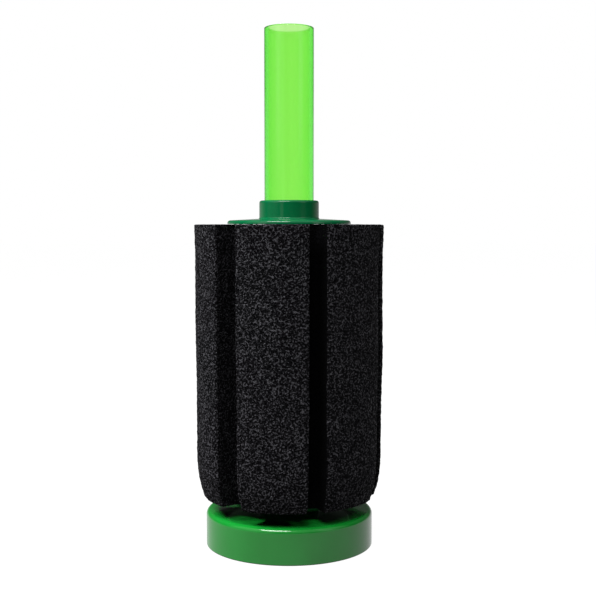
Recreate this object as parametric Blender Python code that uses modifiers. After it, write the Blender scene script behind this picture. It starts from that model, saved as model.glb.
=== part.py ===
"""Air-driven sponge filter for an aquarium.

A fluted foam sleeve sits on a slotted core between two caps of one moulding. A clear lime lift tube is
pushed into the upper cap, and the lower cap drops over the post of a weighted round base. Metres, +Z up
along the common axis, origin at the centre of the base's underside. The sleeve's front lobe faces -Y.
"""

from math import cos, pi, radians, sin

import bmesh
import bpy
from mathutils import Matrix

COLLECTION = "sponge_filter"
CUTTERS = "sponge_filter_cutters"

# Clearance between pieces that touch on the real object.
GAP = 0.0003
ROUND_STEPS = 56
HIDDEN_ROUND_STEPS = 40
SLEEVE_ROUND_STEPS = 72
SMALL_ROUND_STEPS = 24
SHARP_ANGLE = radians(35)
# Points closer than this are one point.
MERGE_DISTANCE = 0.00001
# How many straight steps round a corner: a small visible one, a fillet, the rim of the base and a soft edge.
ROUND_CORNER_STEPS = 3
FILLET_STEPS = 1
RIM_CORNER_STEPS = 5
SOFT_CORNER_STEPS = 2

# Lift tube.
TUBE_RADIUS = 0.0127
TUBE_WALL = 0.0020
TUBE_LENGTH = 0.0983
TUBE_LIP = 0.0004

# Cap moulding, used twice: flange against the sleeve, collar outside, spigot inside the core. The flange
# thickens from its edge to the collar by its rise.
FLANGE_RADIUS = 0.0319
FLANGE_THICKNESS = 0.0019
FLANGE_RISE = 0.0008
FLANGE_ROUND = 0.0014
COLLAR_RADIUS = 0.0154
COLLAR_HEIGHT = 0.0102
COLLAR_ROUND = 0.0012
COLLAR_LEAD_IN = 0.0005
FILLET = 0.0006
LEDGE_THICKNESS = 0.0015
SPIGOT_LENGTH = 0.0140
SPIGOT_CHAMFER = 0.0006

# Slotted core.
CORE_RADIUS = 0.0150
CORE_WALL = 0.0020
SLOT_COLUMNS = 6
SLOT_ROWS = 6
SLOT_WIDTH = 0.0050
SLOT_HEIGHT = 0.0130
SLOT_END_MARGIN = 0.0035

# Foam sleeve with six lobes.
SLEEVE_HEIGHT = 0.1410
SLEEVE_RADIUS = 0.0484
SLEEVE_TOP_FLARE = 0.0005
SLEEVE_FLARE_DEPTH = 0.0150
SLEEVE_TOP_ROUND = 0.0008
SLEEVE_WAIST_DROP = 0.0004
SLEEVE_TAPER_HEIGHT = 0.0250
SLEEVE_TAPER_DEPTH = 0.0038
SLEEVE_TAPER_POWER = 2.6
SLEEVE_TAPER_STEPS = 6
LOBES = 6
GROOVE_WIDTH = 0.0110
GROOVE_DEPTH = 0.0150
GROOVE_ROUND = 0.0022
# Azimuths run from -Y towards +X. The front lobe is cut a little narrower than the five others.
FRONT_LOBE_AZIMUTH = radians(-11.2)
FRONT_LOBE_PITCH = radians(57.6)
OTHER_LOBE_PITCH = (2 * pi - FRONT_LOBE_PITCH) / (LOBES - 1)

# Weighted base.
BASE_RADIUS = 0.0434
BASE_HEIGHT = 0.0183
BASE_WALL = 0.0020
BASE_TOP_ROUND = 0.0024
BASE_INNER_ROUND = 0.0008
BASE_FOOT_ROUND = 0.0006
WELL_DEPTH = 0.0054
WELL_ROUND = 0.0005
POST_CHAMFER = 0.0008
POST_TOP_GAP = 0.0005
RIBS = 6
RIB_THICKNESS = 0.0016
# How far the ribs reach into the walls that they join, and where they start, in shares of their spacing.
RIB_OVERLAP = 0.0004
RIB_START = 0.25
PLATE_THICKNESS = 0.0015
BALLAST_INNER_RADIUS = 0.0200
BALLAST_OUTER_RADIUS = 0.0380
BALLAST_THICKNESS = 0.0080
BALLAST_CHAMFER = 0.0008

# Air inlet inside the core.
DISC_THICKNESS = 0.0015
DISC_PLUG_DEPTH = 0.0030
DISC_HOLES = 8
DISC_HOLE_RADIUS = 0.0006
DISC_HOLE_CIRCLE = 0.0070
DISC_HOLE_SIDES = 10
NIPPLE_BORE = 0.00125
NIPPLE_STEM_RADIUS = 0.0022
NIPPLE_COLLAR_RADIUS = 0.0040
NIPPLE_COLLAR_HEIGHT = 0.0015
NIPPLE_TAIL = 0.0060
BARBS = 3
BARB_PITCH = 0.0035
BARB_RISE = 0.0004
BARB_TIP_INSET = 0.0002
# Shares of the pitch at which a barb is widest, and where it has dropped back to the stem.
BARB_CREST = 0.80
BARB_HEEL = 0.85
NIPPLE_NECK = 0.0040

# Levels that follow from the sizes above.
WELL_FLOOR_Z = BASE_HEIGHT - WELL_DEPTH
LOWER_FACE_Z = WELL_FLOOR_Z + GAP + COLLAR_HEIGHT + FLANGE_THICKNESS
SLEEVE_BOTTOM_Z = LOWER_FACE_Z + GAP
SLEEVE_TOP_Z = SLEEVE_BOTTOM_Z + SLEEVE_HEIGHT
UPPER_FACE_Z = SLEEVE_TOP_Z + GAP
TUBE_BOTTOM_Z = UPPER_FACE_Z + LEDGE_THICKNESS + GAP
POST_RADIUS = TUBE_RADIUS
POST_TOP_Z = LOWER_FACE_Z - LEDGE_THICKNESS - POST_TOP_GAP
WELL_RADIUS = COLLAR_RADIUS + GAP
SOCKET_RADIUS = TUBE_RADIUS + GAP
BORE_RADIUS = TUBE_RADIUS - TUBE_WALL
CORE_BORE = CORE_RADIUS - CORE_WALL
SPIGOT_RADIUS = CORE_BORE - GAP

DARK_GREEN = (0.006, 0.085, 0.030)
BASE_GREEN = (0.030, 0.200, 0.045)
LIME = (0.22, 0.83, 0.06)
FOAM_BLACK = (0.012, 0.012, 0.013)
IRON_GREY = (0.10, 0.10, 0.11)


def clear_scene():
    for obj in list(bpy.data.objects):
        bpy.data.objects.remove(obj, do_unlink=True)


def new_collection(name):
    collection = bpy.data.collections.new(name)
    bpy.context.scene.collection.children.link(collection)
    return collection


def new_object(name, mesh, collection):
    obj = bpy.data.objects.new(name, mesh)
    bpy.data.collections[collection].objects.link(obj)
    return obj


def new_material(name, colour, roughness, metallic=0.0, alpha=1.0):
    material = bpy.data.materials.new(name)
    material.use_nodes = True
    shader = material.node_tree.nodes["Principled BSDF"]
    shader.inputs["Base Color"].default_value = (*colour, 1.0)
    shader.inputs["Roughness"].default_value = roughness
    shader.inputs["Metallic"].default_value = metallic
    shader.inputs["Alpha"].default_value = alpha
    return material


def arc(centre_r, centre_z, radius, start_deg, end_deg, steps):
    """Points (r, z) of a rounded corner, from one angle to the other."""
    angles = [radians(start_deg + (end_deg - start_deg) * i / steps) for i in range(steps + 1)]
    return [(centre_r + radius * cos(a), centre_z + radius * sin(a)) for a in angles]


def turned(name, profile, closed=True, steps=ROUND_STEPS):
    """Solid of revolution about Z. The profile runs down its outer side, from top to bottom."""
    mesh = bpy.data.meshes.new(name)
    edges = [(i, i + 1) for i in range(len(profile) - 1)]
    if closed:
        edges.append((len(profile) - 1, 0))
    mesh.from_pydata([(r, 0.0, z) for r, z in profile], edges, [])
    obj = new_object(name, mesh, COLLECTION)
    screw = obj.modifiers.new("turn", "SCREW")
    screw.axis = "Z"
    screw.angle = 2 * pi
    screw.steps = steps
    screw.render_steps = steps
    screw.use_merge_vertices = True
    screw.merge_threshold = MERGE_DISTANCE
    screw.use_normal_calculate = False
    return obj


def join_cutter(obj, name, shapes, operation="DIFFERENCE"):
    """Cut obj with, or weld to it, the closed shapes held in one bmesh."""
    mesh = bpy.data.meshes.new(name)
    shapes.to_mesh(mesh)
    shapes.free()
    cutter = new_object(name, mesh, CUTTERS)
    cutter.hide_render = True
    cutter.display_type = "WIRE"
    boolean = obj.modifiers.new(name, "BOOLEAN")
    boolean.operation = operation
    boolean.solver = "EXACT"
    boolean.object = cutter
    return cutter


def radial_box(shapes, azimuth, inner, outer, width, low, high):
    """Add a box that reaches from one radius to another, centred on an azimuth, to a bmesh."""
    size = Matrix.Diagonal((outer - inner, width, high - low, 1.0))
    middle = Matrix.Translation(((inner + outer) / 2, 0.0, (low + high) / 2))
    turn = Matrix.Rotation(azimuth, 4, "Z")
    return bmesh.ops.create_cube(shapes, size=1.0, matrix=turn @ middle @ size)["verts"]


def finish(obj, material):
    """Turn the modifiers into the mesh and shade the round faces smooth."""
    bpy.context.view_layer.update()
    evaluated = obj.evaluated_get(bpy.context.evaluated_depsgraph_get())
    mesh = bpy.data.meshes.new_from_object(evaluated)
    mesh.name = obj.name
    obj.modifiers.clear()
    obj.data = mesh
    mesh.shade_smooth()
    mesh.set_sharp_from_angle(angle=SHARP_ANGLE)
    mesh.materials.clear()
    mesh.materials.append(material)
    return obj


def ring_profile(inner, outer, low, high, chamfer):
    """Closed outline of a plain ring with its four edges broken."""
    return [
        (outer - chamfer, high),
        (outer, high - chamfer),
        (outer, low + chamfer),
        (outer - chamfer, low),
        (inner + chamfer, low),
        (inner, low + chamfer),
        (inner, high - chamfer),
        (inner + chamfer, high),
    ]


def build_lift_tube():
    profile = ring_profile(BORE_RADIUS, TUBE_RADIUS, 0.0, TUBE_LENGTH, TUBE_LIP)
    tube = turned("lift_tube", profile)
    tube.location.z = TUBE_BOTTOM_Z
    return finish(tube, new_material("lime_plastic", LIME, 0.12, alpha=0.6))


def cap_profile():
    """Outline of the cap, with the sleeve's side of its flange at z = 0 and its collar upwards."""
    collar_top = FLANGE_THICKNESS + COLLAR_HEIGHT
    collar_edge = (COLLAR_RADIUS - COLLAR_ROUND, collar_top - COLLAR_ROUND)
    fillet_centre = (COLLAR_RADIUS + FILLET, FLANGE_THICKNESS + FLANGE_RISE + FILLET)
    flange_edge = (FLANGE_RADIUS - FLANGE_ROUND, FLANGE_THICKNESS - FLANGE_ROUND)
    profile = arc(*collar_edge, COLLAR_ROUND, 90, 0, ROUND_CORNER_STEPS)
    profile += arc(*fillet_centre, FILLET, 180, 270, FILLET_STEPS)
    profile += arc(*flange_edge, FLANGE_ROUND, 90, 0, ROUND_CORNER_STEPS)
    profile += [
        (FLANGE_RADIUS, 0.0),
        (SPIGOT_RADIUS, 0.0),
        (SPIGOT_RADIUS, SPIGOT_CHAMFER - SPIGOT_LENGTH),
        (SPIGOT_RADIUS - SPIGOT_CHAMFER, -SPIGOT_LENGTH),
        (BORE_RADIUS, -SPIGOT_LENGTH),
        (BORE_RADIUS, LEDGE_THICKNESS),
        (SOCKET_RADIUS, LEDGE_THICKNESS),
        (SOCKET_RADIUS, collar_top - COLLAR_LEAD_IN),
        (SOCKET_RADIUS + COLLAR_LEAD_IN, collar_top),
    ]
    return profile


def build_caps():
    """The upper cap and, turned over, the lower one."""
    top_cap = finish(turned("top_cap", cap_profile()), new_material("dark_green_plastic", DARK_GREEN, 0.25))
    top_cap.location.z = UPPER_FACE_Z
    bottom_cap = new_object("bottom_cap", top_cap.data, COLLECTION)
    bottom_cap.location.z = LOWER_FACE_Z
    bottom_cap.rotation_euler.x = pi
    return top_cap, bottom_cap


def build_strainer_tube():
    profile = ring_profile(CORE_BORE, CORE_RADIUS, 0.0, SLEEVE_HEIGHT, TUBE_LIP)
    tube = turned("strainer_tube", profile, steps=HIDDEN_ROUND_STEPS)
    tube.location.z = SLEEVE_BOTTOM_Z
    low = SPIGOT_LENGTH + SLOT_END_MARGIN
    pitch = (SLEEVE_HEIGHT - 2 * low - SLOT_HEIGHT) / (SLOT_ROWS - 1)
    slots = bmesh.new()
    for row in range(SLOT_ROWS):
        start = low + row * pitch
        for column in range(SLOT_COLUMNS):
            azimuth = 2 * pi * (column + 0.5) / SLOT_COLUMNS
            reach = (CORE_BORE - CORE_WALL, CORE_RADIUS + CORE_WALL)
            radial_box(slots, azimuth, *reach, SLOT_WIDTH, start, start + SLOT_HEIGHT)
    cutter = join_cutter(tube, "strainer_slots", slots)
    cutter.location.z = SLEEVE_BOTTOM_Z
    return finish(tube, new_material("core_plastic", BASE_GREEN, 0.35))


def sleeve_outline():
    """Half section of the foam sleeve: a slight flare at the top, and a rounded taper at the foot."""
    top_radius = SLEEVE_RADIUS + SLEEVE_TOP_FLARE
    low_radius = SLEEVE_RADIUS - SLEEVE_WAIST_DROP
    top_edge = (top_radius - SLEEVE_TOP_ROUND, SLEEVE_HEIGHT - SLEEVE_TOP_ROUND)
    outline = arc(*top_edge, SLEEVE_TOP_ROUND, 90, 0, SOFT_CORNER_STEPS)
    outline.append((SLEEVE_RADIUS, SLEEVE_HEIGHT - SLEEVE_FLARE_DEPTH))
    outline.append((SLEEVE_RADIUS, SLEEVE_HEIGHT / 2))
    for step in range(SLEEVE_TAPER_STEPS + 1):
        share = step / SLEEVE_TAPER_STEPS
        fall = SLEEVE_TAPER_DEPTH * share**SLEEVE_TAPER_POWER
        outline.append((low_radius - fall, SLEEVE_TAPER_HEIGHT * (1 - share)))
    bore = CORE_RADIUS + GAP
    return outline + [(bore, 0.0), (bore, SLEEVE_HEIGHT)]


def build_sponge():
    sponge = turned("sponge", sleeve_outline(), steps=SLEEVE_ROUND_STEPS)
    sponge.location.z = SLEEVE_BOTTOM_Z
    root = SLEEVE_RADIUS - GROOVE_DEPTH
    beyond = SLEEVE_RADIUS + GROOVE_DEPTH
    grooves = bmesh.new()
    first = FRONT_LOBE_AZIMUTH + FRONT_LOBE_PITCH / 2 - pi / 2
    for groove in range(LOBES):
        azimuth = first + groove * OTHER_LOBE_PITCH
        low, high = -GROOVE_DEPTH, SLEEVE_HEIGHT + GROOVE_DEPTH
        verts = radial_box(grooves, azimuth, root, beyond, GROOVE_WIDTH, low, high)
        middle = (root + beyond) / 2
        floor_edges = {
            edge
            for vert in verts
            for edge in vert.link_edges
            if all(v.co.xy.length < middle for v in edge.verts)
            and abs(edge.verts[0].co.z - edge.verts[1].co.z) > SLEEVE_HEIGHT
        }
        corner = {"offset": GROOVE_ROUND, "segments": ROUND_CORNER_STEPS, "profile": 0.5}
        bmesh.ops.bevel(grooves, geom=list(floor_edges), affect="EDGES", **corner)
    cutter = join_cutter(sponge, "sponge_grooves", grooves)
    cutter.location.z = SLEEVE_BOTTOM_Z
    return finish(sponge, new_material("black_foam", FOAM_BLACK, 0.95))


def base_profile():
    """Half section of the base's shell, from the closed top of its post round to the underside."""
    well_edge = (WELL_RADIUS + WELL_ROUND, BASE_HEIGHT - WELL_ROUND)
    rim = (BASE_RADIUS - BASE_TOP_ROUND, BASE_HEIGHT - BASE_TOP_ROUND)
    inner_radius = BASE_RADIUS - BASE_WALL
    inner_rim = (inner_radius - BASE_INNER_ROUND, BASE_HEIGHT - BASE_WALL - BASE_INNER_ROUND)
    foot = (BASE_RADIUS - BASE_FOOT_ROUND, BASE_FOOT_ROUND)
    profile = [(0.0, POST_TOP_Z), (POST_RADIUS - POST_CHAMFER, POST_TOP_Z)]
    profile += [
        (POST_RADIUS, POST_TOP_Z - POST_CHAMFER),
        (POST_RADIUS, WELL_FLOOR_Z),
        (WELL_RADIUS, WELL_FLOOR_Z),
    ]
    profile += arc(*well_edge, WELL_ROUND, 180, 90, FILLET_STEPS)
    profile += arc(*rim, BASE_TOP_ROUND, 90, 0, RIM_CORNER_STEPS)
    profile += arc(*foot, BASE_FOOT_ROUND, 0, -90, SOFT_CORNER_STEPS)
    profile.append((inner_radius, 0.0))
    profile += arc(*inner_rim, BASE_INNER_ROUND, 0, 90, SOFT_CORNER_STEPS)
    profile += [
        (WELL_RADIUS + BASE_WALL, BASE_HEIGHT - BASE_WALL),
        (WELL_RADIUS + BASE_WALL, WELL_FLOOR_Z - BASE_WALL),
        (POST_RADIUS - BASE_WALL, WELL_FLOOR_Z - BASE_WALL),
        (POST_RADIUS - BASE_WALL, POST_TOP_Z - BASE_WALL),
        (0.0, POST_TOP_Z - BASE_WALL),
    ]
    return profile


def build_base_shell():
    """Inverted cup with the post and its well on top, and ribs below that hold the ballast down."""
    shell = turned("base_shell", base_profile(), closed=False)
    inner = WELL_RADIUS + BASE_WALL - RIB_OVERLAP
    outer = BASE_RADIUS - BASE_WALL + RIB_OVERLAP
    low = PLATE_THICKNESS + GAP + BALLAST_THICKNESS + GAP
    high = BASE_HEIGHT - BASE_WALL + RIB_OVERLAP
    ribs = bmesh.new()
    for rib in range(RIBS):
        radial_box(ribs, 2 * pi * (rib + RIB_START) / RIBS, inner, outer, RIB_THICKNESS, low, high)
    join_cutter(shell, "base_ribs", ribs, operation="UNION")
    return finish(shell, new_material("base_plastic", BASE_GREEN, 0.25))


def build_base_plate():
    radius = BASE_RADIUS - BASE_WALL - GAP
    profile = [
        (0.0, PLATE_THICKNESS),
        (radius, PLATE_THICKNESS),
        (radius, BASE_FOOT_ROUND),
        (radius - BASE_FOOT_ROUND, 0.0),
        (0.0, 0.0),
    ]
    return finish(turned("base_plate", profile, closed=False), new_material("plate_plastic", DARK_GREEN, 0.4))


def build_ballast_ring():
    radii = (BALLAST_INNER_RADIUS, BALLAST_OUTER_RADIUS)
    profile = ring_profile(*radii, 0.0, BALLAST_THICKNESS, BALLAST_CHAMFER)
    ring = turned("ballast_ring", profile, steps=HIDDEN_ROUND_STEPS)
    ring.location.z = PLATE_THICKNESS + GAP
    return finish(ring, new_material("cast_iron", IRON_GREY, 0.7, metallic=1.0))


def build_diffuser_disc():
    """Perforated lid on the lower cap's spigot. Its plug hangs inside the spigot."""
    hole = NIPPLE_STEM_RADIUS + GAP
    profile = [
        (SPIGOT_RADIUS, DISC_THICKNESS),
        (SPIGOT_RADIUS, 0.0),
        (BORE_RADIUS - GAP, 0.0),
        (BORE_RADIUS - GAP, -DISC_PLUG_DEPTH),
        (hole, -DISC_PLUG_DEPTH),
        (hole, DISC_THICKNESS),
    ]
    disc = turned("diffuser_disc", profile, steps=HIDDEN_ROUND_STEPS)
    level = LOWER_FACE_Z + SPIGOT_LENGTH + GAP
    disc.location.z = level
    holes = bmesh.new()
    for index in range(DISC_HOLES):
        azimuth = 2 * pi * (index + 0.5) / DISC_HOLES
        place = Matrix.Rotation(azimuth, 4, "Z") @ Matrix.Translation((DISC_HOLE_CIRCLE, 0.0, 0.0))
        size = {"radius1": DISC_HOLE_RADIUS, "radius2": DISC_HOLE_RADIUS, "depth": 4 * DISC_PLUG_DEPTH}
        bmesh.ops.create_cone(holes, cap_ends=True, segments=DISC_HOLE_SIDES, matrix=place, **size)
    cutter = join_cutter(disc, "diffuser_holes", holes)
    cutter.location.z = level
    return finish(disc, new_material("diffuser_plastic", BASE_GREEN, 0.4))


def nipple_profile():
    """Outline of the barbed nipple, with the disc's upper face at z = 0."""
    barbs_top = NIPPLE_COLLAR_HEIGHT + NIPPLE_NECK + BARBS * BARB_PITCH
    profile = []
    for barb in range(BARBS):
        top = barbs_top - barb * BARB_PITCH
        profile.append((NIPPLE_STEM_RADIUS - BARB_TIP_INSET, top))
        profile.append((NIPPLE_STEM_RADIUS + BARB_RISE, top - BARB_CREST * BARB_PITCH))
        profile.append((NIPPLE_STEM_RADIUS, top - BARB_HEEL * BARB_PITCH))
    profile += [
        (NIPPLE_STEM_RADIUS, NIPPLE_COLLAR_HEIGHT + GAP),
        (NIPPLE_COLLAR_RADIUS, NIPPLE_COLLAR_HEIGHT + GAP),
        (NIPPLE_COLLAR_RADIUS, GAP),
        (NIPPLE_STEM_RADIUS, GAP),
        (NIPPLE_STEM_RADIUS, -NIPPLE_TAIL),
        (NIPPLE_BORE, -NIPPLE_TAIL),
        (NIPPLE_BORE, barbs_top),
    ]
    return profile


def build_air_nipple():
    nipple = turned("air_nipple", nipple_profile(), steps=SMALL_ROUND_STEPS)
    nipple.location.z = LOWER_FACE_Z + SPIGOT_LENGTH + GAP + DISC_THICKNESS
    return finish(nipple, new_material("nipple_plastic", LIME, 0.3))


def attach(child, parent):
    """Parent a piece and leave it where it stands."""
    child.parent = parent
    child.matrix_parent_inverse = parent.matrix_world.inverted()


def main():
    clear_scene()
    new_collection(COLLECTION)
    new_collection(CUTTERS)
    base_shell = build_base_shell()
    base_plate = build_base_plate()
    ballast_ring = build_ballast_ring()
    top_cap, bottom_cap = build_caps()
    diffuser_disc = build_diffuser_disc()
    air_nipple = build_air_nipple()
    strainer_tube = build_strainer_tube()
    sponge = build_sponge()
    lift_tube = build_lift_tube()

    # The chain of the joints: each piece rides on the one that it is pushed onto or rests on.
    bpy.context.view_layer.update()
    attach(base_plate, base_shell)
    attach(ballast_ring, base_shell)
    attach(bottom_cap, base_shell)
    attach(diffuser_disc, bottom_cap)
    attach(air_nipple, bottom_cap)
    attach(strainer_tube, bottom_cap)
    attach(sponge, strainer_tube)
    attach(top_cap, sponge)
    attach(lift_tube, top_cap)
    bpy.context.view_layer.update()


main()
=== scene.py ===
"""Looks of an air-driven sponge filter: open-cell foam sleeve, moulded green plastic, clear lime tube."""

from math import atan2, cos, exp, hypot, pi, radians, sin

import bmesh
import bpy
import numpy as np
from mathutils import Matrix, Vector, noise


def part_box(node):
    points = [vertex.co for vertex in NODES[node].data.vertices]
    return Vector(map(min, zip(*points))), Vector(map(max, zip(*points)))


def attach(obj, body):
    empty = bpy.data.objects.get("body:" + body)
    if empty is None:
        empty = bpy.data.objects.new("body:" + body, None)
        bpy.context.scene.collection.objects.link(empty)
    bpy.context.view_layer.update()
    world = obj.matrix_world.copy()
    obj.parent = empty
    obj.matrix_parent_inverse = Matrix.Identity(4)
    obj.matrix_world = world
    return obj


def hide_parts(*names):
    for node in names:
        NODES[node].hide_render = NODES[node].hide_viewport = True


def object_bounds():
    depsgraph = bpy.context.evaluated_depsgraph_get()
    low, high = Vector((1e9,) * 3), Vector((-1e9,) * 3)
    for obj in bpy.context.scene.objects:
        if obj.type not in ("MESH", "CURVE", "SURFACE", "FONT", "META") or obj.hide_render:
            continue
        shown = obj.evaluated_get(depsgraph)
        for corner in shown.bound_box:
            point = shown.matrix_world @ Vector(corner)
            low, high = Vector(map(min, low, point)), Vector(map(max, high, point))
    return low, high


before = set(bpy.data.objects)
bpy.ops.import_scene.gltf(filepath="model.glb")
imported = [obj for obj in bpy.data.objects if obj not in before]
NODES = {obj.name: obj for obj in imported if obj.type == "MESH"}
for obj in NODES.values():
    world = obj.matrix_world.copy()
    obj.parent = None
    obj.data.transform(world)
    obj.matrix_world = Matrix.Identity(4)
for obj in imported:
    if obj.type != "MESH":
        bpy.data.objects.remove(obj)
CAD_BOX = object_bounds()

MM = 0.001


# ---------------------------------------------------------------------------------------------------------
# Materials. Colours are linear red, green and blue. A RANGE is the part of a noise that a detail uses.

NOISE_RANGE = (0.3, 0.7)

# Each moulded plastic: the two colours it drifts between, its smoothest and roughest finish, and its gloss.
PLASTICS = {
    "satin_green_plastic": ((0.012, 0.120, 0.030), (0.018, 0.160, 0.040), 0.38, 0.60, 0.5),
    "lime_plastic": ((0.16, 0.55, 0.05), (0.22, 0.68, 0.08), 0.25, 0.45, 0.5),
    "dark_green_plastic": ((0.0002, 0.095, 0.030), (0.0005, 0.115, 0.038), 0.07, 0.15, 0.5),
    "base_green_plastic": ((0.004, 0.195, 0.018), (0.006, 0.225, 0.024), 0.08, 0.18, 0.5),
    # The lower cap is the same moulding as the upper cap. Its darker green is painted shade for the gap
    # under the sleeve, and its low gloss and rough finish dull its reflections there.
    "lower_cap_shaded_plastic": ((0.0006, 0.080, 0.022), (0.0010, 0.100, 0.028), 0.45, 0.65, 0.1),
}
PLASTIC_IOR = 1.5
DRIFT_SIZE = 22 * MM
HAIR_SIZE = 0.9 * MM
HAIR_RANGE = (0.66, 0.74)
SWIRL_SIZE = 0.8 * MM
SWIRL_RANGE = (0.68, 0.76)
MARK_SIZE = 9 * MM
MARK_RANGE = (0.35, 0.75)
MARK_SHARE = 0.7
PEEL_SIZE = 2.6 * MM
PEEL_DEPTH = 0.02 * MM
SCRATCH_DEPTH = 0.006 * MM
PLASTIC_BUMP = 0.5
# Stretches of noise: the tube's drawn streaks run along the axis, hairlines around it and swirls across X.
ALONG_AXIS = (1.0, 1.0, 0.02)
ALONG_AXIS_FINE = (1.0, 1.0, 0.03)
AROUND_AXIS = (0.07, 0.07, 1.0)
ACROSS_X = (1.0, 0.1, 0.1)

CLEAR_TINTS = ((0.87, 0.94, 0.52), (0.93, 0.97, 0.58))
CLEAR_IOR = 1.46
CLEAR_HAZE = (0.10, 0.16)
BROAD_STREAK = 4.5 * MM
FINE_STREAK = 0.8 * MM
BROAD_SHARE = 0.7
STREAK_RANGE = (0.35, 0.65)
STREAK_DEPTH = 0.02 * MM
STREAK_BUMP = 0.2
HAZE_SIZE = 7 * MM
HAZE_RANGE = (0.3, 0.8)
DEPTH_COLOUR = (0.20, 0.98, 0.14)
DEPTH_DENSITY = 350.0

IRON_GREY = (0.09, 0.09, 0.10)
RUST_BROWN = (0.20, 0.075, 0.03)
IRON_GRAIN = 0.7 * MM
IRON_GRAIN_DEPTH = 0.25 * MM
IRON_GRAIN_RANGE = (0.2, 0.8)
IRON_BUMP = 0.8
IRON_FINISH = (0.55, 0.85)
RUST_SIZE = 11 * MM
RUST_RANGE = (0.52, 0.70)
# Metalness where the ring is bare and where it is rusty.
IRON_METAL = (0.85, 0.10)

# Open cells of the foam. The near-black hollows are painted shade, and the strands' lighter colour is partly
# the foam's own and partly painted light. Each strand fades out from its middle to its edge, between two
# distances in cells.
FOAM_HOLLOW_SHADE = (0.0006, 0.0006, 0.0008)
FOAM_STRAND = (0.066, 0.065, 0.072)
FOAM_IOR = 1.3
FOAM_GLOSS = 0.1
FOAM_DEPTH = 0.35 * MM
FOAM_BUMP = 0.8
# Finish of the hollows and of the strands.
FOAM_FINISH = (0.95, 0.50)
UPPER_CELL = 1.7 * MM
UPPER_FADE = (0.02, 0.24)
LOWER_CELL = UPPER_CELL * 0.8
LOWER_FADE = (0.02, 0.22)
LOWER_LIGHT = 0.07
LOWER_SHIFT = (7.3 * MM, 2.9 * MM, 5.1 * MM)
KNOT_CELL = 1.1 * MM
KNOT_FADE = (0.10, 0.48)
# Noise that stirs the cells, and noise that paints light, as glints, on only some of the strands and knots.
STIR_SIZE = 1.6 * MM
STIR_REACH = 1.4 * MM
STRAND_PATCH = 1.0 * MM
STRAND_LIT = (0.47, 0.64)
KNOT_PATCH = 1.3 * MM
KNOT_LIT = (0.45, 0.60)
CLUMP_PATCH = 6 * MM
CLUMP_LIGHT = (0.80, 1.15)


class Nodes:
    """A short way to write a material's node tree."""

    def __init__(self, name):
        self.material = bpy.data.materials.new(name)
        self.material.use_nodes = True
        self.tree = self.material.node_tree
        self.shader = self.tree.nodes["Principled BSDF"]

    def add(self, kind, inputs=(), **settings):
        made = self.tree.nodes.new("ShaderNode" + kind)
        for key, value in settings.items():
            setattr(made, key, value)
        for key, value in dict(inputs).items():
            self.set(made.inputs[key], value)
        return made

    def set(self, socket, value):
        if isinstance(value, bpy.types.NodeSocket):
            self.tree.links.new(value, socket)
        else:
            socket.default_value = value

    def principled(self, **values):
        for key, value in values.items():
            self.set(self.shader.inputs[key.replace("_", " ")], value)

    def place(self, scale=(1.0, 1.0, 1.0)):
        """Coordinates in metres in the object's own space, stretched by scale."""
        coordinates = self.add("TexCoord").outputs["Object"]
        return self.add("Mapping", {"Vector": coordinates, "Scale": scale}).outputs["Vector"]

    def noise(self, size, detail, rough=0.5, place=None):
        """Fractal noise, from 0 to 1, whose lumps measure about size metres."""
        inputs = {"Vector": place or self.place(), "Scale": 1.0 / size, "Detail": detail, "Roughness": rough}
        return self.add("TexNoise", inputs).outputs["Fac"]

    def voronoi(self, size, feature, place):
        """Distance to the nearest edge or point of random cells, in cells."""
        inputs = {"Vector": place, "Scale": 1.0 / size}
        return self.add("TexVoronoi", inputs, feature=feature).outputs["Distance"]

    def remap(self, value, low, high, to_low=0.0, to_high=1.0, smooth=False):
        kind = "SMOOTHSTEP" if smooth else "LINEAR"
        inputs = {"Value": value, "From Min": low, "From Max": high, "To Min": to_low, "To Max": to_high}
        return self.add("MapRange", inputs, interpolation_type=kind).outputs["Result"]

    def strands(self, size, feature, fade, place):
        """Light along the cells' edges, or on their points, that fades to dark in the cells."""
        return self.remap(self.voronoi(size, feature, place), *fade, 1.0, 0.0, smooth=True)

    def math(self, operation, first, second):
        made = self.add("Math", operation=operation)
        self.set(made.inputs[0], first)
        self.set(made.inputs[1], second)
        return made.outputs["Value"]

    def blend(self, first, second, share):
        """Sum of two values, of which the first counts for share."""
        rest = self.math("MULTIPLY", second, 1.0 - share)
        return self.math("ADD", self.math("MULTIPLY", first, share), rest)

    def mix(self, factor, first, second):
        """Colour between two colours."""
        made = self.add("Mix", data_type="RGBA")
        self.set(made.inputs["Factor"], factor)
        self.set(made.inputs["A"], (*first, 1.0))
        self.set(made.inputs["B"], (*second, 1.0))
        return made.outputs["Result"]

    def bump(self, height, distance, strength, normal=None):
        made = self.add("Bump", {"Height": height, "Distance": distance, "Strength": strength})
        if normal is not None:
            self.set(made.inputs["Normal"], normal)
        return made.outputs["Normal"]


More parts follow.
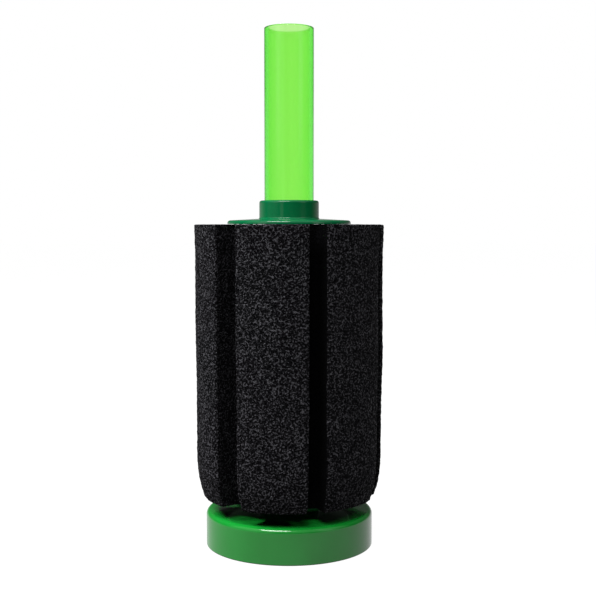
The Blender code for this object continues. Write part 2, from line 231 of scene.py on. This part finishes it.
def moulded_plastic(name):
    """Injection-moulded plastic: faint colour drift, orange peel, hairline scratches and handling marks."""
    dark, light, rough_low, rough_high, gloss = PLASTICS[name]
    n = Nodes(name)
    colour = n.mix(n.remap(n.noise(DRIFT_SIZE, 3.0, 0.55), *NOISE_RANGE), dark, light)
    hairs = n.remap(n.noise(HAIR_SIZE, 2.0, 0.6, n.place(AROUND_AXIS)), *HAIR_RANGE)
    swirls = n.remap(n.noise(SWIRL_SIZE, 2.0, 0.6, n.place(ACROSS_X)), *SWIRL_RANGE)
    scratches = n.math("MAXIMUM", hairs, swirls)
    marks = n.remap(n.noise(MARK_SIZE, 4.0, 0.6), *MARK_RANGE)
    rough = n.remap(n.blend(marks, scratches, MARK_SHARE), 0.0, 1.0, rough_low, rough_high)
    normal = n.bump(n.noise(PEEL_SIZE, 1.0, 0.4), PEEL_DEPTH, PLASTIC_BUMP)
    normal = n.bump(scratches, SCRATCH_DEPTH, PLASTIC_BUMP, normal)
    n.principled(Base_Color=colour, Roughness=rough, Normal=normal)
    n.principled(IOR=PLASTIC_IOR, Specular_IOR_Level=gloss)
    return n.material


def clear_lime_plastic():
    """Extruded tube: clear, tinted through its depth, with drawn streaks along its length."""
    n = Nodes("clear_lime_plastic")
    broad = n.noise(BROAD_STREAK, 2.0, 0.5, n.place(ALONG_AXIS))
    fine = n.noise(FINE_STREAK, 2.0, 0.5, n.place(ALONG_AXIS_FINE))
    streak = n.blend(broad, fine, BROAD_SHARE)
    tint = n.mix(n.remap(streak, *STREAK_RANGE), *CLEAR_TINTS)
    haze = n.remap(n.noise(HAZE_SIZE, 3.0, 0.6), *HAZE_RANGE, *CLEAR_HAZE)
    normal = n.bump(streak, STREAK_DEPTH, STREAK_BUMP)
    n.principled(Base_Color=tint, Roughness=haze, Normal=normal, IOR=CLEAR_IOR, Transmission_Weight=1.0)
    depth = n.add("VolumeAbsorption", {"Color": (*DEPTH_COLOUR, 1.0), "Density": DEPTH_DENSITY})
    n.set(n.tree.nodes["Material Output"].inputs["Volume"], depth.outputs["Volume"])
    return n.material


def cast_iron():
    """Rough sand-cast ring with a little rust."""
    n = Nodes("cast_iron")
    grain = n.noise(IRON_GRAIN, 4.0, 0.7)
    rust = n.remap(n.noise(RUST_SIZE, 4.0, 0.65), *RUST_RANGE)
    colour = n.mix(rust, IRON_GREY, RUST_BROWN)
    metal = n.remap(rust, 0.0, 1.0, *IRON_METAL)
    rough = n.remap(grain, *IRON_GRAIN_RANGE, *IRON_FINISH)
    normal = n.bump(grain, IRON_GRAIN_DEPTH, IRON_BUMP)
    n.principled(Base_Color=colour, Roughness=rough, Metallic=metal, Normal=normal)
    return n.material


def open_cell_foam():
    """Black reticulated foam: random strands at two depths with painted light and glints, over hollows
    painted dark as shade; the deeper strands are painted dimmer.
    """
    n = Nodes("open_cell_foam")
    coordinates = n.add("TexCoord").outputs["Object"]
    stir = n.add("TexNoise", {"Vector": coordinates, "Scale": 1.0 / STIR_SIZE, "Detail": 1.0})
    centred = n.add("VectorMath", {0: stir.outputs["Color"], 1: (0.5, 0.5, 0.5)}, operation="SUBTRACT")
    shift = n.add("VectorMath", {0: centred.outputs["Vector"]}, operation="SCALE")
    n.set(shift.inputs["Scale"], STIR_REACH)
    stirred = n.add("VectorMath", {0: coordinates, 1: shift.outputs["Vector"]}, operation="ADD")
    near = stirred.outputs["Vector"]
    far = n.add("VectorMath", {0: near, 1: LOWER_SHIFT}, operation="ADD").outputs["Vector"]

    upper = n.strands(UPPER_CELL, "DISTANCE_TO_EDGE", UPPER_FADE, near)
    lower = n.strands(LOWER_CELL, "DISTANCE_TO_EDGE", LOWER_FADE, far)
    knots = n.strands(KNOT_CELL, "F1", KNOT_FADE, far)
    lit_strands = n.math("MULTIPLY", upper, n.remap(n.noise(STRAND_PATCH, 1.0), *STRAND_LIT))
    lit_knots = n.math("MULTIPLY", knots, n.remap(n.noise(KNOT_PATCH, 1.0, 0.5, far), *KNOT_LIT))
    light = n.math("MAXIMUM", lit_strands, lit_knots)
    # Painted shade: the deeper strands keep only a little of the painted light.
    light = n.math("MAXIMUM", light, n.math("MULTIPLY", lower, LOWER_LIGHT))
    light = n.math("MULTIPLY", light, n.remap(n.noise(CLUMP_PATCH, 2.0), *NOISE_RANGE, *CLUMP_LIGHT))
    # Painted shade: the grooves' attribute darkens the strands inside them.
    light = n.math("MULTIPLY", light, n.add("Attribute", attribute_name="painted_groove_light").outputs["Fac"])
    colour = n.mix(light, FOAM_HOLLOW_SHADE, FOAM_STRAND)
    rough = n.remap(light, 0.0, 1.0, *FOAM_FINISH)
    normal = n.bump(upper, FOAM_DEPTH, FOAM_BUMP)
    n.principled(Base_Color=colour, Roughness=rough, Normal=normal)
    n.principled(IOR=FOAM_IOR, Specular_IOR_Level=FOAM_GLOSS)
    return n.material


def paint_cad_nodes():
    """Give the CAD nodes that nothing replaces their materials."""
    satin = moulded_plastic("satin_green_plastic")
    finishes = {
        "base_plate": satin,
        "strainer_tube": satin,
        "diffuser_disc": satin,
        "air_nipple": moulded_plastic("lime_plastic"),
        "ballast_ring": cast_iron(),
    }
    for node, material in finishes.items():
        mesh = NODES[node].data
        mesh.materials.clear()
        mesh.materials.append(material)


# ---------------------------------------------------------------------------------------------------------
# Foam sleeve

# Edges of the grooves right and left of the front lobe, in degrees from -Y towards +X. The lobe sits a
# little towards the right one, which makes that groove narrow and the left one wide. The four other grooves
# are even, and so are the five other lobes.
LOBES = 6
NARROW_GROOVE = (12.6, 22.7)
WIDE_GROOVE = (312.7, 327.4)
EVEN_GROOVE = 13.0
GROOVE_FLOOR = 33.4 * MM
# Radius at which the grooves' edges are measured.
EDGE_RADIUS = 48.4 * MM
# Painted shade: share of the strands' painted light that the foam keeps inside each kind of groove; the
# narrow groove is painted nearly black.
NARROW_SHADE = 0.03
EVEN_SHADE = 0.45
WIDE_SHADE = 0.55

# Side of the sleeve from its foot up: radius, flared lip, belly, waist and rounded foot.
SIDE_RADIUS = 48.35 * MM
LIP = 0.55 * MM
LIP_SPAN = (122 * MM, 141 * MM)
BELLY = 0.20 * MM
BELLY_HEIGHT = 86 * MM
BELLY_SPREAD = 15 * MM
WAIST = 0.35 * MM
WAIST_SPAN = (50 * MM, 75 * MM)
FOOT = 3.8 * MM
FOOT_SPAN = 25 * MM
FOOT_POWER = 2.6
TOP_RADIUS = 48.9 * MM
TOP_ROUND = 0.7 * MM
FOOT_ROUND = 1.2 * MM
ROUND_TURNS = (0.0, pi / 6, pi / 3)
BORE = 15.35 * MM
# Ring on the sleeve's ends, just under the caps' flanges, where the fine rows stop.
INNER_RING = 30.0 * MM

ARC_STEPS = 50
WALL_STEPS = 13
FLOOR_STEPS = 8
CORNER_PASSES = 3
SIDE_STEP = 0.85 * MM
TOP_ROWS = 18
FOOT_ROWS = 9
BORE_ROWS = 4

# How far cells, clumps and the slow lean of the cut push the skin, and how large each is.
PORE = 1.5 * MM
PORE_PUSH = 0.55 * MM
PORE_MIDDLE = 0.55
CLUMP = 3.2 * MM
CLUMP_PUSH = 0.14 * MM
LEAN = 45 * MM
LEAN_PUSH = 0.30 * MM
# The flat ends are pushed less.
END_BAND = 0.2 * MM
END_SHARE = 0.6


def smooth_share(value, low, high):
    share = min(max((value - low) / (high - low), 0.0), 1.0)
    return share * share * (3 - 2 * share)


def sleeve_radius(height):
    """Outer radius at a height above the sleeve's foot."""
    lip = LIP * smooth_share(height, *LIP_SPAN)
    belly = BELLY * exp(-(((height - BELLY_HEIGHT) / BELLY_SPREAD) ** 2))
    waist = WAIST * (1 - smooth_share(height, *WAIST_SPAN))
    foot = FOOT * max(1 - height / FOOT_SPAN, 0.0) ** FOOT_POWER
    return SIDE_RADIUS + lip + belly - waist - foot


def grooves():
    """Middle angle and half width of each groove, from the one right of the front lobe round to the left."""
    span = WIDE_GROOVE[0] - NARROW_GROOVE[1]
    lobe = (span - (LOBES - 2) * EVEN_GROOVE) / (LOBES - 1)
    edges = [NARROW_GROOVE]
    for _ in range(LOBES - 2):
        start = edges[-1][1] + lobe
        edges.append((start, start + EVEN_GROOVE))
    edges.append(WIDE_GROOVE)
    turns = [(radians(first), radians(last)) for first, last in edges]
    return [((first + last) / 2, EDGE_RADIUS * sin((last - first) / 2)) for first, last in turns]


def along(azimuth, out, aside):
    """Point out along an azimuth, which grows from -Y towards +X, and aside of it the same way round."""
    return (out * sin(azimuth) + aside * cos(azimuth), -out * cos(azimuth) + aside * sin(azimuth))


def sleeve_outline(radius):
    """Closed outline that starts in the groove right of the front lobe. All radii give as many points."""
    points = []
    cuts = grooves()
    for (axis, half), (next_axis, next_half) in zip(cuts, cuts[1:] + cuts[:1]):
        reach = (radius**2 - half**2) ** 0.5
        next_reach = (radius**2 - next_half**2) ** 0.5
        for step in range(FLOOR_STEPS):
            points.append(along(axis, GROOVE_FLOOR, -half + 2 * half * step / FLOOR_STEPS))
        for step in range(WALL_STEPS):
            points.append(along(axis, GROOVE_FLOOR + (reach - GROOVE_FLOOR) * step / WALL_STEPS, half))
        start = axis + atan2(half, reach)
        sweep = (next_axis - atan2(next_half, next_reach) - start) % (2 * pi)
        for step in range(ARC_STEPS):
            points.append(along(start + sweep * step / ARC_STEPS, radius, 0.0))
        for step in range(WALL_STEPS):
            out = next_reach + (GROOVE_FLOOR - next_reach) * step / WALL_STEPS
            points.append(along(next_axis, out, -next_half))
    outline = np.array(points)
    for _ in range(CORNER_PASSES):
        outline = 0.25 * np.roll(outline, 1, 0) + 0.5 * outline + 0.25 * np.roll(outline, -1, 0)
    return outline


def ring_under(radius):
    """Points on a circle for the outline's points, spread by their order so that no row crosses another."""
    count = FLOOR_STEPS + 2 * WALL_STEPS + ARC_STEPS
    ring = []
    cuts = grooves()
    for (axis, _), (next_axis, _) in zip(cuts, cuts[1:] + cuts[:1]):
        sweep = (next_axis - axis) % (2 * pi)
        for step in range(count):
            ring.append(along(axis + sweep * (step - FLOOR_STEPS / 2) / count, radius, 0.0))
    return np.array(ring)


def sleeve_rows(height):
    """Rows of the sleeve's skin, from the top end's bore over the side to the bottom end's bore."""
    rows = []

    def level(outline, z):
        rows.append(np.column_stack([outline, np.full(len(outline), z)]))

    top_edge = TOP_RADIUS - TOP_ROUND
    foot_edge = sleeve_radius(FOOT_ROUND) - FOOT_ROUND
    top = sleeve_outline(top_edge)
    bottom = sleeve_outline(foot_edge)
    middle_ring = ring_under((BORE + INNER_RING) / 2)
    level(ring_under(BORE), height)
    level(middle_ring, height)
    for step in range(TOP_ROWS):
        share = step / TOP_ROWS
        level(ring_under(INNER_RING) * (1 - share) + top * share, height)
    for turn in ROUND_TURNS:
        level(sleeve_outline(top_edge + TOP_ROUND * sin(turn)), height - TOP_ROUND + TOP_ROUND * cos(turn))
    side = height - TOP_ROUND - FOOT_ROUND
    steps = int(side / SIDE_STEP)
    for step in range(steps + 1):
        z = height - TOP_ROUND - side * step / steps
        level(sleeve_outline(sleeve_radius(z)), z)
    for turn in reversed(ROUND_TURNS):
        level(sleeve_outline(foot_edge + FOOT_ROUND * sin(turn)), FOOT_ROUND - FOOT_ROUND * cos(turn))
    for step in range(1, FOOT_ROWS + 1):
        share = step / FOOT_ROWS
        level(ring_under(INNER_RING) * share + bottom * (1 - share), 0.0)
    level(middle_ring, 0.0)
    for step in range(BORE_ROWS):
        level(ring_under(BORE), height * step / BORE_ROWS)
    return rows


def grid_mesh(name, rows):
    """Closed tube of quads through rows of equal length; the last row joins the first."""
    count, width = len(rows), len(rows[0])
    points = np.concatenate(rows)
    row, column = np.meshgrid(np.arange(count), np.arange(width), indexing="ij")
    down, across = (row + 1) % count, (column + 1) % width
    corners = [row * width + column, down * width + column, down * width + across, row * width + across]
    quads = np.stack(corners, axis=-1).reshape(-1, 4)
    mesh = bpy.data.meshes.new(name)
    mesh.from_pydata(points.tolist(), [], quads.tolist())
    mesh.update()
    return mesh


def new_piece(name, mesh, material):
    mesh.materials.append(material)
    piece = bpy.data.objects.new(name, mesh)
    bpy.context.scene.collection.objects.link(piece)
    return piece


def read_vectors(vectors, key):
    """Vectors of a mesh's points as rows."""
    values = np.zeros(len(vectors) * 3)
    vectors.foreach_get(key, values)
    return values.reshape(-1, 3)


def foam_skin(mesh, height):
    """Push the skin in and out outside the inner ring: open cells, torn clumps and the lean of cut foam."""
    points = read_vectors(mesh.vertices, "co")
    normals = read_vectors(mesh.vertex_normals, "vector")
    push = np.zeros(len(points))
    for index, (x, y, z) in enumerate(points):
        if hypot(x, y) <= INNER_RING:
            continue
        place = Vector((x, y, z))
        cell = noise.voronoi(place / PORE)[0][0]
        clump = noise.noise(place / CLUMP)
        lean = noise.noise(place / LEAN)
        push[index] = PORE_PUSH * (cell - PORE_MIDDLE) + CLUMP_PUSH * clump + LEAN_PUSH * lean
    ends = (points[:, 2] < END_BAND) | (points[:, 2] > height - END_BAND)
    push[ends] *= END_SHARE
    points += normals * push[:, None]
    mesh.vertices.foreach_set("co", points.ravel())
    mesh.update()


def paint_groove_shade(mesh):
    """Paint shade into the grooves: each point's share of the foam's painted light, 1 on the lobes and the
    ends, less inside the grooves.
    """
    shades = [NARROW_SHADE] + [EVEN_SHADE] * (LOBES - 2) + [WIDE_SHADE]
    share = []
    for here, following in zip(shades, shades[1:] + shades[:1]):
        share += [here] * (FLOOR_STEPS + WALL_STEPS)
        share += [1.0] * (ARC_STEPS + 1)
        share += [following] * (WALL_STEPS - 1)
    rows = len(mesh.vertices) // len(share)
    attribute = mesh.attributes.new("painted_groove_light", "FLOAT", "POINT")
    attribute.data.foreach_set("value", np.tile(share, rows).astype(np.float32))


def build_sleeve():
    low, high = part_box("sponge")
    height = high.z - low.z
    mesh = grid_mesh("foam_sleeve", sleeve_rows(height))
    paint_groove_shade(mesh)
    foam_skin(mesh, height)
    mesh.shade_smooth()
    sleeve = new_piece("foam_sleeve", mesh, open_cell_foam())
    sleeve.location.z = low.z
    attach(sleeve, "sleeve")
    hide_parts("sponge")


# ---------------------------------------------------------------------------------------------------------
# Turned pieces, round and smooth enough for close views

TURNED_STEPS = 192
CORNER_STEPS = 6
SPAN_END = 0.15 * MM
SHARP_ANGLE = radians(32)
MERGE_DISTANCE = 0.001 * MM

# Lift tube.
TUBE_RADIUS = 12.7 * MM
TUBE_BORE = 10.7 * MM
TUBE_LIP = 0.35 * MM

# Cap, used twice. Its flange starts at 0 and its collar goes up.
FLANGE_RADIUS = 31.9 * MM
FLANGE_THICKNESS = 1.9 * MM
FLANGE_RISE = 0.8 * MM
FLANGE_ROUND = 1.4 * MM
COLLAR_RADIUS = 15.4 * MM
COLLAR_TOP = 12.1 * MM
COLLAR_ROUND = 1.2 * MM
FILLET = 0.7 * MM
SOCKET_RADIUS = 13.0 * MM
SOCKET_FLOOR = 1.5 * MM
LEAD_IN = 0.5 * MM
SPIGOT_RADIUS = 12.7 * MM
SPIGOT_END = -14.0 * MM

# Base.
BASE_RADIUS = 43.4 * MM
BASE_TOP = 18.3 * MM
BASE_WALL = 2.0 * MM
RIM_ROUND = 2.4 * MM
FOOT_EDGE = 0.6 * MM
WELL_RADIUS = 15.7 * MM
WELL_FLOOR = 12.9 * MM
WELL_EDGE = 0.5 * MM
POST_RADIUS = 12.7 * MM
POST_TOP = 23.3 * MM
POST_CHAMFER = 0.8 * MM


def corner(radius, height, size, start, end):
    """Profile points (r, z) of a rounded corner, between two angles in degrees."""
    turns = [radians(start + (end - start) * step / CORNER_STEPS) for step in range(CORNER_STEPS + 1)]
    return [(radius + size * cos(turn), height + size * sin(turn)) for turn in turns]


def supported(profile):
    """Profile with points close to both ends of each long span, which keeps the span's shading straight."""
    points = []
    for (radius, height), (next_radius, next_height) in zip(profile, profile[1:] + profile[:1]):
        points.append((radius, height))
        out, up = next_radius - radius, next_height - height
        length = hypot(out, up)
        if length > 4 * SPAN_END:
            for share in (SPAN_END / length, 1 - SPAN_END / length):
                points.append((radius + out * share, height + up * share))
    return points


def turned(name, profile, body, node, material):
    """Closed solid of revolution that stands for a CAD node."""
    turns = [2 * pi * step / TURNED_STEPS for step in range(TURNED_STEPS)]
    rows = [np.array([(r * cos(turn), r * sin(turn), z) for turn in turns]) for r, z in supported(profile)]
    mesh = grid_mesh(name, rows)
    shape = bmesh.new()
    shape.from_mesh(mesh)
    bmesh.ops.remove_doubles(shape, verts=shape.verts, dist=MERGE_DISTANCE)
    bmesh.ops.dissolve_degenerate(shape, edges=shape.edges, dist=MERGE_DISTANCE)
    bmesh.ops.recalc_face_normals(shape, faces=shape.faces)
    shape.to_mesh(mesh)
    shape.free()
    mesh.shade_smooth()
    mesh.set_sharp_from_angle(angle=SHARP_ANGLE)
    piece = new_piece(name, mesh, material)
    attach(piece, body)
    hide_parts(node)


def tube_profile():
    low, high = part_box("lift_tube")
    profile = []
    for radius, height, start in (
        (TUBE_RADIUS - TUBE_LIP, high.z - TUBE_LIP, 90),
        (TUBE_RADIUS - TUBE_LIP, low.z + TUBE_LIP, 0),
        (TUBE_BORE + TUBE_LIP, low.z + TUBE_LIP, 270),
        (TUBE_BORE + TUBE_LIP, high.z - TUBE_LIP, 180),
    ):
        profile += corner(radius, height, TUBE_LIP, start, start - 90)
    return profile


def cap_profile(face, direction):
    """Cap with the sleeve's side of its flange at a height, its collar up (1) or down (-1)."""
    profile = corner(COLLAR_RADIUS - COLLAR_ROUND, COLLAR_TOP - COLLAR_ROUND, COLLAR_ROUND, 90, 0)
    profile += corner(COLLAR_RADIUS + FILLET, FLANGE_THICKNESS + FLANGE_RISE + FILLET, FILLET, 180, 270)
    profile += corner(FLANGE_RADIUS - FLANGE_ROUND, FLANGE_THICKNESS - FLANGE_ROUND, FLANGE_ROUND, 90, 0)
    profile += [
        (FLANGE_RADIUS, 0.0),
        (SPIGOT_RADIUS, 0.0),
        (SPIGOT_RADIUS, SPIGOT_END + LEAD_IN),
        (SPIGOT_RADIUS - LEAD_IN, SPIGOT_END),
        (TUBE_BORE, SPIGOT_END),
        (TUBE_BORE, SOCKET_FLOOR),
        (SOCKET_RADIUS, SOCKET_FLOOR),
        (SOCKET_RADIUS, COLLAR_TOP - LEAD_IN),
        (SOCKET_RADIUS + LEAD_IN, COLLAR_TOP),
    ]
    return [(radius, face + direction * height) for radius, height in profile]


def base_profile():
    """Inverted cup with the post and its well; the axis closes it at the post's top."""
    inner = BASE_RADIUS - BASE_WALL
    profile = [
        (0.0, POST_TOP),
        (POST_RADIUS - POST_CHAMFER, POST_TOP),
        (POST_RADIUS, POST_TOP - POST_CHAMFER),
        (POST_RADIUS, WELL_FLOOR),
        (WELL_RADIUS, WELL_FLOOR),
    ]
    profile += corner(WELL_RADIUS + WELL_EDGE, BASE_TOP - WELL_EDGE, WELL_EDGE, 180, 90)
    profile += corner(BASE_RADIUS - RIM_ROUND, BASE_TOP - RIM_ROUND, RIM_ROUND, 90, 0)
    profile += corner(BASE_RADIUS - FOOT_EDGE, FOOT_EDGE, FOOT_EDGE, 0, -90)
    profile += [
        (inner, 0.0),
        (inner, BASE_TOP - BASE_WALL),
        (WELL_RADIUS + BASE_WALL, BASE_TOP - BASE_WALL),
        (WELL_RADIUS + BASE_WALL, WELL_FLOOR - BASE_WALL),
        (POST_RADIUS - BASE_WALL, WELL_FLOOR - BASE_WALL),
        (POST_RADIUS - BASE_WALL, POST_TOP - BASE_WALL),
        (0.0, POST_TOP - BASE_WALL),
    ]
    return profile


def build_turned_pieces():
    upper_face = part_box("top_cap")[1].z - COLLAR_TOP
    lower_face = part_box("bottom_cap")[0].z + COLLAR_TOP
    upper_cap = cap_profile(upper_face, 1)
    lower_cap = cap_profile(lower_face, -1)
    dark_green = moulded_plastic("dark_green_plastic")
    base_green = moulded_plastic("base_green_plastic")
    # Painted shade: the lower cap gets a darker, duller copy of the cap's green.
    lower_cap_shade = moulded_plastic("lower_cap_shaded_plastic")
    turned("clear_tube", tube_profile(), "tube", "lift_tube", clear_lime_plastic())
    turned("upper_cap_moulding", upper_cap, "upper_cap", "top_cap", dark_green)
    turned("lower_cap_moulding", lower_cap, "lower_cap", "bottom_cap", lower_cap_shade)
    turned("base_moulding", base_profile(), "base", "base_shell", base_green)


# ---------------------------------------------------------------------------------------------------------
# Stage

CAMERA_DISTANCE = 0.5691
CAMERA_HEIGHT = 0.1651
CAMERA_ASIDE = 0.0046
CAMERA_PITCH = radians(3.78)
CAMERA_LENS = 65.8
CAMERA_SENSOR = 36.0
CAMERA_CLIP = 0.01

# Area lights: name, azimuth from -Y towards +X and elevation in degrees, width and height in metres, power
# in watts, and whether gloss shows the light.
LIGHT_DISTANCE = 1.5
LIGHTS = (
    ("front_key", -25.0, 52.0, 0.90, 0.30, 16.0, True),
    ("front_fill", 4.0, 48.0, 0.40, 0.40, 8.5, False),
    ("left", -72.0, 48.0, 0.35, 0.45, 23.0, False),
    ("left_back", -108.0, 42.0, 0.40, 0.45, 15.0, False),
    ("right", 50.0, 38.0, 0.30, 0.40, 3.5, False),
)

# Brightness of the room's parts in gloss, and of the light on bare surfaces, which is dim on the camera's
# side and grows to the fill behind the object.
ROOM_DIM = 0.008
ROOM_FILL = 0.10
TABLE_BRIGHT = 0.85
CEILING_BRIGHT = 0.52
WALL_BRIGHT = 0.40
# Sines above the horizon, and then sines towards +Y, between which the room's parts fade.
TABLE_FADE = (-0.05, -0.01)
CEILING_FADE = (0.20, 0.45)
WALL_FADE = (0.06, 0.16)
STRIP_FADE = (0.03, 0.10)
FRONT_TURN = (-0.05, 0.15)
WALL_TURN = (0.0, 0.8)
FILL_TURN = (-0.1, 0.6)
# Upright panels that gloss shows: azimuth, half width and soft edge in degrees, and brightness. The first
# adds to the ceiling. The strips have one brightness at the horizon and another above it.
CEILING_LEFT = (-80.0, 50.0, 30.0, 0.35)
LEFT_PANEL = (-90.0, 35.0, 25.0, 0.16)
STRIPS = ((-28.0, 3.0, 6.0, 0.42, 0.42), (-50.0, 4.0, 16.0, 0.0, 0.9), (56.0, 4.0, 14.0, 0.08, 0.9))

STAGE_RADIUS = 12.0
STAGE_SEGMENTS = 96
STAGE_DROP = 0.2 * MM
STAGE_GREYS = ((0.06, 0.06, 0.06), (0.08, 0.08, 0.08))
STAGE_GLOW = 0.97
STAGE_FINISH = 0.9
STAGE_GRAIN = 30 * MM


def build_camera():
    data = bpy.data.cameras.new("camera")
    data.lens = CAMERA_LENS
    data.sensor_width = CAMERA_SENSOR
    data.clip_start = CAMERA_CLIP
    camera = bpy.data.objects.new("camera", data)
    camera.location = (CAMERA_ASIDE, -CAMERA_DISTANCE, CAMERA_HEIGHT)
    camera.rotation_euler = (pi / 2 - CAMERA_PITCH, 0.0, 0.0)
    bpy.context.scene.collection.objects.link(camera)
    bpy.context.scene.camera = camera


def build_lights():
    """Aim the area lights at the object's middle. Clear plastic shows none of them."""
    aim = (CAD_BOX[0] + CAD_BOX[1]) / 2
    for name, azimuth, elevation, width, height, power, mirrored in LIGHTS:
        data = bpy.data.lights.new(name, "AREA")
        data.shape = "RECTANGLE"
        data.size = width
        data.size_y = height
        data.energy = power
        light = bpy.data.objects.new(name, data)
        turn, lift = radians(azimuth), radians(elevation)
        away = Vector((sin(turn) * cos(lift), -cos(turn) * cos(lift), sin(lift)))
        light.location = aim + away * LIGHT_DISTANCE
        light.rotation_euler = away.to_track_quat("Z", "Y").to_euler()
        light.visible_glossy = mirrored
        light.visible_transmission = False
        bpy.context.scene.collection.objects.link(light)


def build_world():
    """White to the camera and through clear plastic, and dim to bare surfaces. Gloss shows a studio: a white
    table below the horizon, a pale ceiling in front, and upright panels left and right of the camera."""
    world = bpy.data.worlds.new("studio")
    bpy.context.scene.world = world
    world.use_nodes = True
    tree = world.node_tree
    background = tree.nodes["Background"]
    background.inputs["Color"].default_value = (1.0, 1.0, 1.0, 1.0)

    def add(kind, **settings):
        made = tree.nodes.new("ShaderNode" + kind)
        for key, value in settings.items():
            setattr(made, key, value)
        return made

    def ramp(value, low, high, to_low, to_high):
        made = add("MapRange", interpolation_type="SMOOTHSTEP")
        for name, number in (("From Min", low), ("From Max", high), ("To Min", to_low), ("To Max", to_high)):
            made.inputs[name].default_value = number
        tree.links.new(value, made.inputs["Value"])
        return made.outputs["Result"]

    def combine(operation, *values):
        made = add("Math", operation=operation)
        for socket, value in zip(made.inputs, values):
            if isinstance(value, bpy.types.NodeSocket):
                tree.links.new(value, socket)
            else:
                socket.default_value = value
        return made.outputs["Value"]

    direction = add("SeparateXYZ")
    tree.links.new(add("TexCoord").outputs["Generated"], direction.inputs["Vector"])
    towards_x, towards_y, up = (direction.outputs[axis] for axis in "XYZ")
    azimuth = combine("ARCTAN2", towards_x, combine("MULTIPLY", towards_y, -1.0))

    def panel(middle, half, soft, bright):
        """Upright panel at an azimuth, as wide as twice half, with soft edges; all in degrees."""
        off = combine("ABSOLUTE", combine("SUBTRACT", azimuth, radians(middle)))
        return ramp(off, radians(half), radians(half + soft), bright, 0.0)

    path = add("LightPath").outputs
    in_front = ramp(towards_y, *FRONT_TURN, 1.0, 0.0)
    table = ramp(up, *TABLE_FADE, TABLE_BRIGHT, 0.0)
    ceiling = combine("ADD", panel(*CEILING_LEFT), CEILING_BRIGHT)
    ceiling = combine("MULTIPLY", combine("MULTIPLY", ramp(up, *CEILING_FADE, 0.0, 1.0), ceiling), in_front)
    sides = panel(*LEFT_PANEL)
    for middle, half, soft, low, high in STRIPS:
        bright = ramp(up, *STRIP_FADE, low, high)
        sides = combine("ADD", sides, combine("MULTIPLY", panel(middle, half, soft, 1.0), bright))
    sides = combine("MULTIPLY", sides, in_front)
    wall = ramp(towards_y, *WALL_TURN, ROOM_DIM, WALL_BRIGHT)
    wall = combine("MULTIPLY", wall, ramp(up, *WALL_FADE, 1.0, 0.0))
    room = combine("MAXIMUM", combine("MAXIMUM", table, ceiling), combine("MAXIMUM", sides, wall))
    gloss = combine("MULTIPLY", room, path["Is Glossy Ray"])
    fill = ramp(towards_y, *FILL_TURN, ROOM_DIM, ROOM_FILL)
    seen = combine("MAXIMUM", path["Is Camera Ray"], path["Is Transmission Ray"])
    strength = combine("MAXIMUM", seen, combine("MAXIMUM", gloss, fill))
    tree.links.new(strength, background.inputs["Strength"])


def build_floor():
    """White table top that glows more than it is lit, so that it stays even."""
    bpy.ops.mesh.primitive_circle_add(
        vertices=STAGE_SEGMENTS, radius=STAGE_RADIUS, fill_type="NGON", location=(0, 0, -STAGE_DROP)
    )
    floor = bpy.context.object
    floor.name = "floor"
    n = Nodes("pale_floor")
    grain = n.remap(n.noise(STAGE_GRAIN, 3.0), *NOISE_RANGE)
    n.principled(Base_Color=n.mix(grain, *STAGE_GREYS), Roughness=STAGE_FINISH)
    n.principled(Emission_Color=(1.0, 1.0, 1.0, 1.0), Emission_Strength=STAGE_GLOW)
    floor.data.materials.append(n.material)
    floor.visible_diffuse = False
    floor.visible_glossy = False


build_camera()
build_world()
build_lights()
build_floor()
paint_cad_nodes()
build_turned_pieces()
build_sleeve()
bpy.context.scene.view_settings.view_transform = "Standard"
